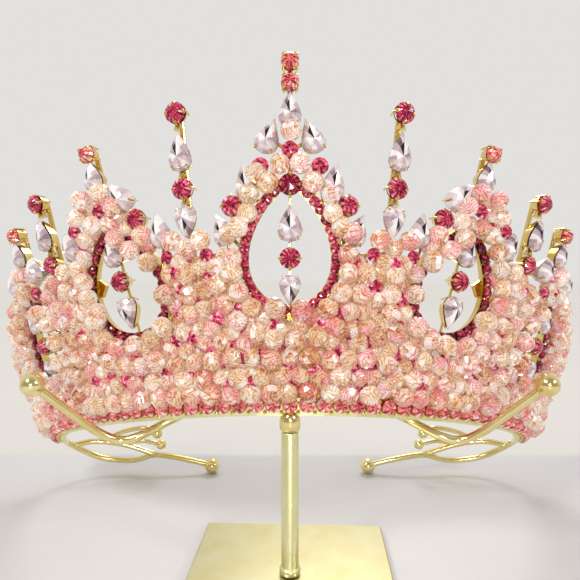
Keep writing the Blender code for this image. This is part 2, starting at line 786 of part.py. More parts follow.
def end_wire(side):
    """The bare end of the tiara: a loop of wire, two scrolls and a ball that rests on the table."""
    paths = {
        "lower": END_WIRE,
        "branch": END_BRANCH,
        "scroll_upper": END_SCROLL_UPPER,
        "scroll_lower": END_SCROLL_LOWER,
    }
    tubes = []
    for label, table in paths.items():
        points = [Vector((side * x, y, z)) * MM for x, y, z in table]
        thin = 1.0 if label in ("lower", "branch") else 0.8
        steps = 2 if label in ("lower", "scroll_upper") else 1
        path = smooth_path(points, steps)
        tubes.append(wire(f"end_{label}_{side}", path, WIRE_RADIUS * thin * MM, helpers))
    base = tubes[0]
    base.name = side_name("end_wire", side)
    helpers.objects.unlink(base)
    parts.objects.link(base)
    base.data.materials.append(gold_polished)
    x, y, z = END_WIRE[-1]
    tip = Vector((side * x, y, BALL_RADIUS)) * MM
    pieces = tubes[1:] + [ball(f"end_ball_{side}", tip, BALL_RADIUS * MM, helpers)]
    for table in (END_SCROLL_UPPER, END_SCROLL_LOWER):
        x, y, z = table[-1]
        middle = Vector((side * x, y, z)) * MM
        pieces.append(ball(f"end_bead_{side}_{z}", middle, SCROLL_BALL * MM, helpers, 8))
    join_pieces(base, pieces)


clear_scene()
parts = make_collection("tiara_on_stand")
helpers = make_collection("cutters")
wall_cutters = bpy.data.collections.new("wall_cutters")
helpers.children.link(wall_cutters)
gold_polished = polished_gold()
gold_satin = satin_gold()
rose = rose_crystal()
crystal = clear_crystal()
bead_blush = blush_bead()

# Columns of the beaded wall: its ends and every bend of its top edge.
wall_columns = [0.12] + [theta for theta, slant in WALL_TOP[1:]]

base_plate()
stand_post()
stand_cradle()
rim_band()
for one_arch in ARCHES:
    for arch_side in one_arch[1]:
        arch_frame(one_arch, arch_side)
for one_spike in SPIKES:
    for spike_side in (-1, 1):
        spike(one_spike, spike_side)
for end_side in (-1, 1):
    end_wire(end_side)
bead_wall("bead_wall_left", -1)
bead_wall("bead_wall_right", 1)
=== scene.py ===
import math
import random

import bmesh
import bpy
from mathutils import Matrix, Vector


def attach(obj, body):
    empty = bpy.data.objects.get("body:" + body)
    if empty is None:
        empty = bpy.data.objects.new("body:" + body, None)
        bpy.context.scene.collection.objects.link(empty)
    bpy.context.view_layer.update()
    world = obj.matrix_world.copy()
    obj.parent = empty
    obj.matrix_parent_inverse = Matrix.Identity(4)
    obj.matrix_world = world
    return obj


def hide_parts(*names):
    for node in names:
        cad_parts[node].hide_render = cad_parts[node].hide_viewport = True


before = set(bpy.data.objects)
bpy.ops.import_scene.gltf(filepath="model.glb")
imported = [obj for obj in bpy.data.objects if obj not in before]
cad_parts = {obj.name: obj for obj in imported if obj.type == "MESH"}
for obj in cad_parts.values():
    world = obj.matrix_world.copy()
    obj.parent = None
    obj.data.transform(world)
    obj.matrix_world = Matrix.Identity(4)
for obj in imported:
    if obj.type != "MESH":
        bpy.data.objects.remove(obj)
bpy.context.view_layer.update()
dice = random.Random(7)  # one seed, so that every run gives the same tiara
mm = 0.001  # sizes below are in mm, the frame is in metres
sideWords = {-1: "left", 1: "right"}


# the flared ring: theta goes round the head in degrees, slant up its wall and out of it in mm
crown = {
    "rimRadius": 66.7,
    "flare": 22.0,
    "sideFlare": 6.0,
    "lean": 25.0,
    "frontY": -1.7,
    "frontZ": 35.0,
}


def flareAt(angle):
    return math.radians(crown["flare"] + crown["sideFlare"] * math.sin(angle) ** 2)


def onCrown(theta, slant, out):
    angle = math.radians(theta)
    flare = flareAt(angle)
    lean = math.radians(crown["lean"])
    radius = crown["rimRadius"] + slant * math.sin(flare) + out * math.cos(flare)
    height = slant * math.cos(flare) - out * math.sin(flare)
    behind = crown["rimRadius"] - radius * math.cos(angle)
    y = crown["frontY"] + behind * math.cos(lean) + height * math.sin(lean)
    z = crown["frontZ"] - behind * math.sin(lean) + height * math.cos(lean)
    return Vector((radius * math.sin(angle), y, z)) * mm


def wallRadius(slant):
    return crown["rimRadius"] + slant * math.sin(math.radians(crown["flare"]))


def seat(theta, slant, out, lean=0.0):
    # X round the head, Y up the wall, Z out of it
    here = onCrown(theta, slant, out)
    up = (onCrown(theta, slant + 1.0, out) - here).normalized()
    face = (onCrown(theta, slant, out + 1.0) - here).normalized()
    across = up.cross(face)
    place = Matrix((across, up, face)).transposed().to_4x4()
    place.translation = here
    side = -1.0 if theta < 0.0 else 1.0
    return place @ Matrix.Rotation(math.radians(-lean * side), 4, "Z")


def gapBetween(a, b, out=0.0):
    # in mm, between two places given by theta and slant
    return (onCrown(a[0], a[1], out) - onCrown(b[0], b[1], out)).length / mm


def sidesOf(theta):
    # what lies off the middle comes on both sides
    return (1,) if theta == 0.0 else (-1, 1)


# shader nodes written as Python sums
class Socket:
    def __init__(self, tree, socket):
        self.tree = tree
        self.socket = socket

    def maths(self, operation, first, second):
        return self.tree.node("ShaderNodeMath", {"operation": operation}, {0: first, 1: second})

    def __add__(self, other):
        return self.maths("ADD", self, other)

    def __sub__(self, other):
        return self.maths("SUBTRACT", self, other)

    def __rsub__(self, other):
        return self.maths("SUBTRACT", other, self)

    def __mul__(self, other):
        return self.maths("MULTIPLY", self, other)

    __radd__ = __add__
    __rmul__ = __mul__


class Shader:
    def __init__(self, owner, surface="Principled BSDF"):
        owner.use_nodes = True
        self.owner = owner
        self.nodes = owner.node_tree.nodes
        self.links = owner.node_tree.links
        self.surface = self.nodes[surface]

    def plug(self, target, value):
        if isinstance(value, Socket):
            self.links.new(value.socket, target)
        elif target.type == "RGBA":
            target.default_value = (*value, 1.0)
        else:
            target.default_value = value

    def node(self, kind, settings=None, inputs=None, output=0):
        made = self.nodes.new(kind)
        for key, value in (settings or {}).items():
            if key == "stops":
                ramp = made.color_ramp
                while len(ramp.elements) < len(value):
                    ramp.elements.new(0.5)
                for element, (position, colour) in zip(ramp.elements, value):
                    element.position = position
                    element.color = (*colour, 1.0)
            else:
                setattr(made, key, value)
        for key, value in (inputs or {}).items():
            self.plug(made.inputs[key], value)
        return Socket(self, made.outputs[output])

    def set(self, **values):
        for key, value in values.items():
            self.plug(self.surface.inputs[key.replace("_", " ")], value)

    def place(self, stretch=None):
        place = self.node("ShaderNodeTexCoord", output="Object")
        return self.node("ShaderNodeMapping", {}, {0: place, 3: stretch}) if stretch else place

    def carried(self, name, output="Fac"):
        return self.node("ShaderNodeAttribute", {"attribute_name": name}, {}, output)

    def noise(self, scale, detail=3.0, place=None):
        inputs = {"Vector": place or self.place(), "Scale": scale, "Detail": detail}
        return self.node("ShaderNodeTexNoise", {}, inputs, "Fac")

    def spread(self, value, low, high, first=0.0, last=1.0):
        return self.node("ShaderNodeMapRange", {}, {0: value, 1: low, 2: high, 3: first, 4: last})

    def ramp(self, stops, level):
        return self.node("ShaderNodeValToRGB", {"stops": stops}, {0: level}, "Color")

    def mix(self, share, first, second):
        return self.node("ShaderNodeMix", {"data_type": "RGBA"}, {0: share, 6: first, 7: second}, 2)

    def bump(self, height, strength, distance):
        inputs = {"Height": height, "Strength": strength, "Distance": distance}
        return self.node("ShaderNodeBump", {}, inputs, "Normal")


goldLook = {
    "polished": {"bright": (0.89, 0.73, 0.29), "deep": (0.70, 0.46, 0.11), "smooth": 0.10, "rough": 0.24},
    "pale": {"bright": (0.94, 0.89, 0.47), "deep": (0.84, 0.69, 0.27), "smooth": 0.08, "rough": 0.24},
    "satin": {"bright": (0.88, 0.93, 0.60), "deep": (0.80, 0.82, 0.44), "smooth": 0.30, "rough": 0.44},
    "brushed": {"bright": (0.62, 0.63, 0.41), "deep": (0.55, 0.54, 0.30), "smooth": 0.28, "rough": 0.42},
}
goldGrain = {"cloud": 160.0, "fine": 2600.0, "speck": 5200.0, "brushed": (9000.0, 400.0, 900.0)}
goldTarnish = (0.70, 0.36, 0.06)


def goldMaterial(kind):
    look = goldLook[kind]
    shader = Shader(bpy.data.materials.new(kind + "Gold"))
    cloud = shader.noise(goldGrain["cloud"], 4.0)
    fine = shader.noise(goldGrain["fine"])
    speck = shader.noise(goldGrain["speck"], 2.0)
    scratch = shader.noise(1.0, 2.0, shader.place(goldGrain["brushed"]))
    colour = shader.mix(shader.spread(cloud, 0.35, 0.7), look["bright"], look["deep"])
    shader.set(
        Base_Color=shader.mix(fine * 0.3, colour, goldTarnish),
        Metallic=1.0,
        Roughness=look["smooth"] + (look["rough"] - look["smooth"]) * (cloud * 0.6 + scratch * 0.4),
        Normal=shader.bump(speck + scratch, 0.12, 0.00004),
    )
    return shader.owner


# cut glass: the ramp of its tones, the scale, tones and dark joints of the cells that paint the reflections
# of facets on its far side, and its transmission, roughness, coat and specular
glassLook = {
    "rose": {
        "stops": (
            (0.0, (0.07, 0.001, 0.007)),
            (0.25, (0.28, 0.010, 0.040)),
            (0.50, (0.62, 0.050, 0.120)),
            (0.78, (0.88, 0.17, 0.28)),
            (1.0, (1.0, 0.62, 0.72)),
        ),
        "cells": (1700.0, 0.48, 0.34),
        "gloss": (0.03, 0.06, 0.15, 0.3),
    },
    "coral": {
        "stops": (
            (0.0, (0.14, 0.008, 0.012)),
            (0.28, (0.50, 0.05, 0.06)),
            (0.55, (0.86, 0.20, 0.19)),
            (0.80, (0.97, 0.42, 0.38)),
            (1.0, (1.0, 0.90, 0.88)),
        ),
        "cells": (1500.0, 0.46, 0.30),
        "gloss": (0.03, 0.06, 0.15, 0.3),
    },
    "clear": {
        "stops": (
            (0.0, (0.006, 0.005, 0.009)),
            (0.18, (0.07, 0.045, 0.06)),
            (0.38, (0.42, 0.32, 0.36)),
            (0.62, (0.72, 0.58, 0.62)),
            (0.84, (0.90, 0.82, 0.85)),
            (1.0, (1.0, 1.0, 1.0)),
        ),
        "cells": (500.0, 0.12, 0.0),
        "gloss": (0.22, 0.02, 0.6, 0.5),
    },
}


def facetMaterial(kind):
    # each facet carries a painted reflection tone, and the ramp turns it into the colour it throws back; the
    # cells over it paint the far side's facets
    scale, cellShine, darkJoints = glassLook[kind]["cells"]
    transmission, roughness, coat, specular = glassLook[kind]["gloss"]
    shader = Shader(bpy.data.materials.new(kind + "Glass"))
    cloud = shader.noise(700.0)
    streak = shader.noise(2400.0)
    cells = {"Vector": shader.place(), "Scale": scale}
    cell = shader.node("ShaderNodeTexVoronoi", {"feature": "F1"}, cells, "Color")
    border = shader.node("ShaderNodeTexVoronoi", {"feature": "DISTANCE_TO_EDGE"}, cells, "Distance")
    thrown = shader.node("ShaderNodeSeparateColor", {}, {0: cell}, "Red")
    joint = shader.spread(border, 0.015, 0.075, 1.0, 0.0)
    level = shader.carried("tone") + (cloud - 0.5) * 0.24 + (streak - 0.5) * 0.16
    level = level + (thrown - 0.5) * cellShine - joint * darkJoints
    shader.set(
        Base_Color=shader.ramp(glassLook[kind]["stops"], level),
        Roughness=roughness + 0.05 * streak,
        Specular_IOR_Level=specular,
        Transmission_Weight=transmission,
        Coat_Weight=coat,
        Coat_Roughness=0.02,
        Normal=shader.bump(streak, 0.05, 0.00003),
    )
    return shader.owner


beadGlass = {
    "stops": (
        (0.0, (0.30, 0.05, 0.04)),
        (0.18, (0.58, 0.20, 0.10)),
        (0.36, (0.72, 0.38, 0.20)),
        (0.54, (0.80, 0.55, 0.35)),
        (0.70, (0.85, 0.68, 0.50)),
        (0.86, (0.95, 0.86, 0.76)),
        (1.0, (1.0, 1.0, 1.0)),
    ),
    "lines": {"Scale": 600.0, "Distortion": 3.0, "Detail": 2.0, "Detail Scale": 1.6},
    "crossLines": {"Scale": 310.0, "Distortion": 2.4, "Detail": 2.0, "Detail Scale": 2.2},
    "amber": (0.80, 0.50, 0.17),
    "rosePatch": (0.76, 0.13, 0.19),
    "ochreLine": (0.62, 0.38, 0.07),
    "roseLine": (0.78, 0.09, 0.16),
    "glow": 0.10,
    "transmission": 0.38,
}


def beadMaterial():
    # thin bent lines inside each bead, over the tone and painted shine of its facets
    shader = Shader(bpy.data.materials.new("blushGlass"))
    own = shader.carried("own", "Vector")
    cloud = shader.noise(900.0, 2.0, own)
    kind = shader.noise(150.0, 1.0, own)
    lines = {"Vector": own, **beadGlass["lines"]}
    crossLines = {"Vector": own, **beadGlass["crossLines"]}
    stripe = shader.node("ShaderNodeTexWave", {"bands_direction": "X"}, lines, "Fac")
    cross = shader.node("ShaderNodeTexWave", {"bands_direction": "Y"}, crossLines, "Fac")
    line = shader.spread(stripe, 0.02, 0.34, 1.0, 0.0)
    cross = shader.spread(cross, 0.02, 0.16, 1.0, 0.0)
    level = shader.carried("tone") + (cloud - 0.5) * 0.34 - line * 0.44 - cross * 0.28
    # which beads are rose, which ochre, and where amber shines through
    amber = shader.spread(cloud, 0.54, 0.68, 0.0, 0.5)
    patch = shader.spread(kind, 0.31, 0.39, 0.46, 0.0)
    ochre = shader.spread(kind, 0.50, 0.60, 0.0, 0.55)
    rose = shader.spread(kind, 0.38, 0.46, 0.80, 0.0)
    colour = shader.mix(amber, shader.ramp(beadGlass["stops"], level), beadGlass["amber"])
    colour = shader.mix(patch, colour, beadGlass["rosePatch"])
    colour = shader.mix(line * ochre, colour, beadGlass["ochreLine"])
    colour = shader.mix(line * rose, colour, beadGlass["roseLine"])
    shader.set(
        Base_Color=colour,
        # painted glow: the beads give off a little light in their own colour, which flattens their round
        # shading
        Emission_Color=colour,
        Emission_Strength=beadGlass["glow"],
        Roughness=0.03 + 0.06 * cloud,
        Transmission_Weight=beadGlass["transmission"],
        Coat_Weight=0.3,
        Coat_Roughness=0.02,
        Normal=shader.bump(stripe, 0.12, 0.00004),
    )
    return shader.owner


print("materials")
goldPolished = goldMaterial("polished")
goldPale = goldMaterial("pale")
goldSatin = goldMaterial("satin")
goldBrushed = goldMaterial("brushed")
blushGlass = beadMaterial()
roseGlass = facetMaterial("rose")
coralGlass = facetMaterial("coral")
clearGlass = facetMaterial("clear")


def newObject(name, data):
    made = bpy.data.objects.new(name, data)
    bpy.context.scene.collection.objects.link(made)
    return made


def toMesh(name, bm):
    mesh = bpy.data.meshes.new(name)
    bm.to_mesh(mesh)
    bm.free()
    return mesh


def addPiece(name, bm, material, nodes=(), smooth=False):
    for face in bm.faces:
        face.smooth = smooth
    piece = newObject(name, toMesh(name, bm))
    piece.data.materials.append(material)
    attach(piece, "root")
    if nodes:
        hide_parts(*nodes)
    return piece


def newPiece():
    # its faces carry a tone with painted shine: painted reflections on cut stones, and painted glints and
    # light on beads
    bm = bmesh.new()
    bm.faces.layers.float.new("tone")
    return bm


def stamp(bm, shape, place, shift=0.0):
    # adds a copy of a template mesh
    verts, faces = len(bm.verts), len(bm.faces)
    bm.from_mesh(shape)
    bm.verts.ensure_lookup_table()
    bmesh.ops.transform(bm, matrix=place, verts=bm.verts[verts:])
    tone = bm.faces.layers.float.get("tone")
    if tone and shift:
        bm.faces.ensure_lookup_table()
        for face in bm.faces[faces:]:
            face[tone] += shift


def ballShape(name, radius, across, up):
    bm = bmesh.new()
    bmesh.ops.create_uvsphere(bm, u_segments=across, v_segments=up, radius=radius * mm)
    return toMesh(name, bm)


def addCone(bm, segments, back, front, depth, place=Matrix()):
    bmesh.ops.create_cone(
        bm, cap_ends=True, segments=segments, radius1=back, radius2=front, depth=depth, matrix=place
    )


def bridgeRings(bm, rings):
    # a closed tube over rings of points, the last of which meets the first
    loops = []
    for ring in rings:
        points = [bm.verts.new(point) for point in ring]
        loops.append([bm.edges.new(pair) for pair in zip(points, points[1:] + points[:1])])
    for first, second in zip(loops, loops[1:] + loops[:1]):
        bmesh.ops.bridge_loops(bm, edges=first + second)


# the place of every stone: kind, theta, slant, lean, width, height
stones = {
    "archCentreApex": ("round", 0.0, 44.0, 0.0, 4.2, 4.2),
    "archCentreFinial": ("pear", 0.0, 58.5, 0.0, 4.0, 7.2),
    "archCentreDropUpper": ("pear", 0.0, 36.7, 0.0, 4.3, 7.4),
    "archCentreDrop": ("round", 0.0, 29.9, 0.0, 4.1, 4.1),
    "archCentreDropLower": ("pear", 0.0, 23.75, 180.0, 3.8, 6.2),
    "archMiddleApex": ("round", 21.7, 40.2, 0.0, 4.1, 4.1),
    "archMiddleFinial": ("pear", 27.5, 50.9, 0.0, 4.1, 6.2),
    "archMiddleDropUpper": ("pear", 26.5, 34.8, 6.0, 4.1, 6.6),
    "archMiddleDrop": ("round", 26.0, 28.5, 0.0, 4.0, 4.0),
    "archMiddleDropLower": ("pear", 25.4, 21.9, 186.0, 4.1, 7.0),
    "archOuterFinial": ("pear", 47.7, 42.4, 0.0, 4.0, 6.2),
    "archOuterDropUpper": ("pear", 49.1, 26.6, 6.0, 4.0, 6.2),
    "archOuterDrop": ("round", 48.6, 20.3, 0.0, 3.9, 3.9),
    "archOuterDropLower": ("pear", 48.1, 14.2, 186.0, 4.0, 6.2),
    "spikeInnerTop": ("round", 14.3, 59.4, 0.0, 4.2, 4.2),
    "spikeInnerUpper": ("pear", 14.3, 51.9, 0.0, 4.3, 8.0),
    "spikeInnerMiddle": ("round", 14.3, 44.5, 0.0, 4.2, 4.2),
    "spikeInnerLower": ("pear", 14.3, 37.7, 180.0, 4.2, 7.0),
    "spikeOuterTop": ("round", 39.5, 50.4, 0.0, 4.1, 4.1),
    "spikeOuterUpper": ("pear", 39.5, 43.2, 0.0, 4.1, 7.4),
    "spikeOuterLower": ("round", 39.5, 36.2, 0.0, 4.1, 4.1),
}
crestStones = (
    ("centre", "square", 0.0, 63.6, 0.0, 3.5, 3.5),
    ("centre", "square", 0.0, 67.6, 0.0, 3.5, 3.5),
    ("centre", "pear", 2.7, 53.5, -21.0, 4.4, 7.2),
    ("centre", "pear", 5.8, 44.9, 9.0, 4.3, 8.3),
    ("centre", "round", 7.8, 40.3, 0.0, 4.2, 4.2),
    ("centre", "pear", 9.3, 35.9, 20.0, 4.2, 6.6),
    ("middle", "square", 27.9, 55.8, 0.0, 3.4, 3.4),
    ("middle", "pear", 23.8, 45.6, 36.0, 4.2, 7.4),
    ("middle", "pear", 34.3, 38.5, 15.0, 4.0, 6.8),
    ("middle", "pear", 18.4, 37.2, 5.0, 4.3, 7.4),
    ("outer", "square", 47.6, 47.2, 0.0, 3.4, 3.4),
    ("outer", "pear", 44.6, 37.4, 8.0, 4.0, 6.4),
    ("outer", "pear", 52.9, 37.4, 20.0, 4.0, 6.4),
)
# small rose stones among the beads: theta, slant, width, out
accentStones = (
    (0.0, 50.6, 3.2, 0.6),
    (27.3, 43.4, 3.2, 0.8),
    (32.4, 41.0, 3.2, 0.8),
    (45.2, 32.1, 3.2, 0.8),
    (11.6, 31.2, 2.8, 0.6),
    (17.6, 31.6, 2.8, 0.4),
    (3.8, 47.5, 3.4, 0.7),
)
# how a stone is cut: its girdle and peak in shares of its depth, its middle in shares of its height
cuts = {
    "pear": {"girdle": 0.5, "peak": 0.16, "middle": -0.12, "widen": 1.06, "sides": 16},
    "round": {"girdle": 0.64, "peak": 0.04, "middle": 0.0, "widen": 1.0, "sides": 24},
}
cuts["square"] = cuts["round"]
# painted reflections: how bright each wedge is painted, clockwise from the tip, in the outer and the inner
# row of facets
pearShine = (
    (0.80, 1.10, 1.05, 0.62, 0.52, 0.74, 0.96, 0.66, 0.92, 0.70, 0.60, 1.00, 0.62, 0.34, 0.74, 0.62),
    (1.15, 1.20, 1.10, 0.90, 0.46, 0.62, 0.82, 0.56, 0.70, 0.86, 1.15, 1.20, 0.58, -0.1, -0.1, 0.10),
)
roundShine = ((0.70, 0.42, 0.80, 0.34), (0.46, 0.16, 0.62, 0.24))
stoneFit = {
    "depth": 2.5,
    "apexOut": 0.4,
    "apexDim": 0.16,
    "crestDepth": 3.7,
    "crestOut": -1.2,
    "accentDepth": 1.8,
    "backTone": 0.35,
}


def pearPoint(turn, halfWidth, halfHeight, pinch):
    widest = 0.82 if pinch < 1.0 else 0.66
    x = halfWidth / widest * math.sin(turn) * abs(math.sin(turn / 2)) ** pinch
    return Vector((x, halfHeight * math.cos(turn)))


def pearOutline(halfWidth, halfHeight, pinch, grow, count):
    points = []
    for index in range(count):
        turn = 2 * math.pi * index / count
        before = pearPoint(turn - 0.05, halfWidth, halfHeight, pinch)
        after = pearPoint(turn + 0.05, halfWidth, halfHeight, pinch)
        along = (after - before).normalized()
        place = pearPoint(turn, halfWidth, halfHeight, pinch)
        points.append(place + Vector((-along.y, along.x)) * grow)
    return points


def stoneEdge(kind, turn, width, height):
    # a point of the girdle, at a turn from the tip
    if kind == "pear":
        return pearPoint(turn, width / 2, height / 2, 1.5)
    grow = 1.0 + (0.07 * abs(math.sin(2 * turn)) if kind == "square" else 0.0)
    return Vector((math.sin(turn) * width, math.cos(turn) * height)) * (grow / 2)


def cutStone(kind, width, height, depth, sides):
    # tapering back, girdle, two rows of facets and a table, with painted reflections on the facets, those of
    # the table standing for the facets behind it
    cut = cuts[kind]
    bm = newPiece()
    tone = bm.faces.layers.float["tone"]
    girdle = cut["girdle"] * depth
    addCone(bm, sides, 0.62, 1.0, girdle, Matrix.Translation((0.0, 0.0, girdle / 2)))
    top = max(bm.faces, key=lambda face: face.calc_center_median().z)
    for rise, share in ((0.84, 0.80), (1.0, 0.55)):
        bmesh.ops.inset_individual(bm, faces=[top], thickness=0.0, depth=0.0, use_even_offset=False)
        length = max(math.hypot(vertex.co.x, vertex.co.y) for vertex in top.verts)
        for vertex in top.verts:
            vertex.co.x *= share / length
            vertex.co.y *= share / length
            vertex.co.z = depth * rise
    peak = bmesh.ops.poke(bm, faces=[top], offset=cut["peak"] * depth)["verts"][0]
    peak.co.y += cut["middle"]
    # painted reflections: every facet above the girdle gets the fixed brightness of its wedge
    for face in bm.faces:
        at = face.calc_center_median()
        wedge = int(math.atan2(at.x, at.y) % (2 * math.pi) / (2 * math.pi) * sides)
        inner = math.hypot(at.x, at.y) < 0.6
        if at.z < girdle * 0.99:
            face[tone] = stoneFit["backTone"]
        elif kind == "pear":
            face[tone] = pearShine[inner][wedge % 16]
        else:
            swing = 0.12 * math.sin(wedge * 1.7) if inner else 0.10 * math.sin(wedge * 2.3)
            face[tone] = roundShine[inner][wedge % 4] + swing
    middle = cut["middle"] * height
    for vertex in bm.verts:
        share = math.hypot(vertex.co.x, vertex.co.y)
        edge = stoneEdge(kind, math.atan2(vertex.co.x, vertex.co.y), width, height)
        vertex.co.x = edge.x * share * cut["widen"]
        vertex.co.y = (edge.y - middle) * share + middle
    bmesh.ops.scale(bm, vec=(mm, mm, mm), verts=bm.verts)
    bmesh.ops.recalc_face_normals(bm, faces=bm.faces)
    return toMesh(kind, bm)


def cutStones():
    rose, clear = newPiece(), newPiece()
    for name, (kind, theta, slant, lean, width, height) in stones.items():
        isApex = name == "archCentreApex"
        out = stoneFit["apexOut"] if isApex else 0.0
        shape = cutStone(kind, width, height, stoneFit["depth"] - out, cuts[kind]["sides"])
        for side in sidesOf(theta):
            shift = dice.uniform(-0.14, 0.0) - (stoneFit["apexDim"] if isApex else 0.0)
            stamp(clear if kind == "pear" else rose, shape, seat(side * theta, slant, out, lean), shift)
    roundNodes = [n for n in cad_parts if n.endswith("_stone")]
    pearNodes = [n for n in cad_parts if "_teardrop" in n]
    addPiece("roseStones", rose, roseGlass, roundNodes)
    addPiece("teardrops", clear, clearGlass, pearNodes)


def crestAndAccents():
    rose, clear, coral = newPiece(), newPiece(), newPiece()
    into = {"round": rose, "pear": clear, "square": coral}
    for arch, kind, theta, slant, lean, width, height in crestStones:
        shape = cutStone(kind, width, height, stoneFit["crestDepth"], 16)
        for side in sidesOf(theta):
            place = seat(side * theta, slant, stoneFit["crestOut"], lean)
            stamp(into[kind], shape, place, dice.uniform(-0.04, 0.06))
    for theta, slant, width, out in accentStones:
        shape = cutStone("round", width, width, stoneFit["accentDepth"], 12)
        for side in sidesOf(theta):
            stamp(rose, shape, seat(side * theta, slant, out))
    addPiece("crestRoseStones", rose, roseGlass)
    addPiece("crestCoralStones", coral, coralGlass)
    addPiece("crestTeardrops", clear, clearGlass)


print("cut stones")
cutStones()
crestAndAccents()


# middle of each arch, half its width and height, its lean in degrees, and the top of its neck
arches = {
    "centre": {"theta": 0.0, "slant": 32.5, "half": (8.1, 11.5), "lean": 0.0, "neck": (0.0, 68.4)},
    "middle": {"theta": 25.9, "slant": 28.0, "half": (8.0, 10.3), "lean": 6.0, "neck": (27.9, 56.6)},
    "outer": {"theta": 48.5, "slant": 20.5, "half": (7.2, 10.2), "lean": 6.0, "neck": (47.6, 47.9)},
}
spikes = {"inner": (14.3, 60.4), "outer": (39.5, 51.4)}  # theta and top
frameMetal = {
    "back": -1.9,
    "front": -1.0,
    "pinch": 0.7,
    # bed, inner lip and outer lip of a ring: inside at its back and front, outside, back, front
    "hoops": ((0.75, 0.05, 2.0, -1.9, -0.25), (0.3, 0.0, 0.3, -0.9, 0.0), (1.8, 1.85, 2.15, -1.9, 0.25)),
    "hoopSteps": 56,
    "legFoot": 5.8,
    "leg": 2.4,
    "stem": 1.0,
    "spine": 0.5,
    "arm": 0.7,
    "armDrop": 3.2,
    "tab": ((9.6, 2.0), (6.8, -0.6)),
    "tabWidth": 3.0,
    "edge": 0.18,
}
# prongs by their turn from a stone's tip, and the cup below it as shares of the stone and places outward
setting = {
    "prong": 0.24,
    "pearProng": 0.17,
    "prongFoot": -1.2,
    "prongKnee": 1.0,
    "prongTop": 1.9,
    "turns": {
        "pear": (2.55, 3.73),
        "round": [index * math.pi / 2 for index in range(4)],
        "square": [(index + 0.5) * math.pi / 2 for index in range(4)],
    },
    "cup": ((0.52, -1.3), (0.60, -1.3), (0.98, 0.7), (0.90, 0.7)),
    "cupSteps": 20,
}
spikeJoint = {"below": 0.3, "out": 0.4, "size": (1.0, 0.55, 1.4)}  # below each stone of a spike
archSides = [(name, arch, side) for name, arch in arches.items() for side in sidesOf(arch["theta"])]


def archPoint(arch, side, x, y):
    x += y * math.tan(math.radians(arch["lean"])) * side
    theta = arch["theta"] * side + math.degrees(x / wallRadius(arch["slant"]))
    return (theta, arch["slant"] + y)


def archLine(arch, side, grow, count):
    outline = pearOutline(*arch["half"], frameMetal["pinch"], grow, count)
    return [archPoint(arch, side, x, y) for x, y in outline]


def insideArch(arch, side, theta, slant, grow):
    halfWidth, halfHeight = arch["half"]
    y = slant - arch["slant"]
    x = math.radians(theta - arch["theta"] * side) * wallRadius(arch["slant"])
    x -= y * math.tan(math.radians(arch["lean"])) * side
    turn = math.acos(max(-1.0, min(1.0, y / (halfHeight + grow))))
    width = abs(pearPoint(turn, halfWidth + grow, halfHeight + grow, frameMetal["pinch"]).x)
    return abs(y) < halfHeight + grow and abs(x) < width


def insideAny(theta, slant, grow):
    return any(insideArch(arch, side, theta, slant, grow) for name, arch, side in archSides)


def placesAlong(line, pitch, walked, out=0.0, carry=True):
    # places a pitch apart along a closed line, with what is left over carried on or dropped
    places = []
    for here, there in zip(line, line[1:] + line[:1]):
        walked += gapBetween(here, there, out)
        if walked >= pitch:
            walked = walked - pitch if carry else 0.0
            places.append(there)
    return places


def addHoop(bm, arch, side, insideBack, insideFront, outside, back, front):
    # a pear-shaped hoop laid on the wall
    rings = []
    for grow, out in ((insideBack, back), (outside, back), (outside, front), (insideFront, front)):
        line = archLine(arch, side, grow, frameMetal["hoopSteps"])
        rings.append([onCrown(*place, out) for place in line])
    bridgeRings(bm, rings)


def addBar(bm, start, end, width, thick, face):
    along = (end - start).normalized()
    face = (face - along * face.dot(along)).normalized()
    place = Matrix((along.cross(face), along, face)).transposed().to_4x4()
    place.translation = (start + end) / 2
    size = Matrix.Diagonal((width, (end - start).length, thick, 1.0))
    made = bmesh.ops.create_cube(bm, size=1.0, matrix=place @ size)
    edges = list({edge for vertex in made["verts"] for edge in vertex.link_edges})
    edge = min(width, thick) * frameMetal["edge"]
    bmesh.ops.bevel(bm, geom=edges, offset=edge, segments=1, profile=0.5, affect="EDGES", material=-1)


def addWallBar(bm, start, end, width, back=frameMetal["back"], front=frameMetal["front"]):
    middle = (back + front) / 2
    face = seat((start[0] + end[0]) / 2, start[1], 0.0).col[2].to_3d()
    a = onCrown(start[0], start[1], middle)
    b = onCrown(end[0], end[1], middle)
    addBar(bm, a, b, width * mm, (front - back) * mm, face)


def prongEdge(kind, turn, width, height):
    if kind == "pear":
        return pearPoint(turn, width / 2, height / 2 + 0.1, 1.3)
    reach = width / 2 * (1.1 if kind == "square" else 1.0) + 0.1
    return Vector((math.sin(turn), math.cos(turn))) * reach


def addSetting(bm, kind, theta, slant, lean, width, height):
    # prongs that fold over the girdle, and a low cup below it
    place = seat(theta, slant, 0.0, lean)
    thin = (setting["pearProng"] if kind == "pear" else setting["prong"]) * mm
    for turn in setting["turns"][kind]:
        edge = prongEdge(kind, turn, width, height)
        points = (
            (*(edge * 0.8), setting["prongFoot"]),
            (*edge, setting["prongKnee"]),
            (*(edge - edge.normalized() * 0.5), setting["prongTop"]),
        )
        foot, knee, tip = [place @ (Vector(point) * mm) for point in points]
        for start, end in ((foot, knee), (knee, tip)):
            along = end - start
            turned = along.to_track_quat("Z", "Y").to_matrix().to_4x4()
            turned.translation = (start + end) / 2
            addCone(bm, 6, thin, thin * 0.8, along.length * 1.05, turned)
        ball = Matrix.Translation(tip)
        bmesh.ops.create_uvsphere(bm, u_segments=8, v_segments=5, radius=thin * 1.6, matrix=ball)
    rings = []
    for share, out in setting["cup"]:
        ring = []
        for index in range(setting["cupSteps"]):
            turn = 2 * math.pi * index / setting["cupSteps"]
            edge = stoneEdge(kind, turn, width, height) * share
            ring.append(place @ (Vector((*edge, out)) * mm))
        rings.append(ring)
    bridgeRings(bm, rings)


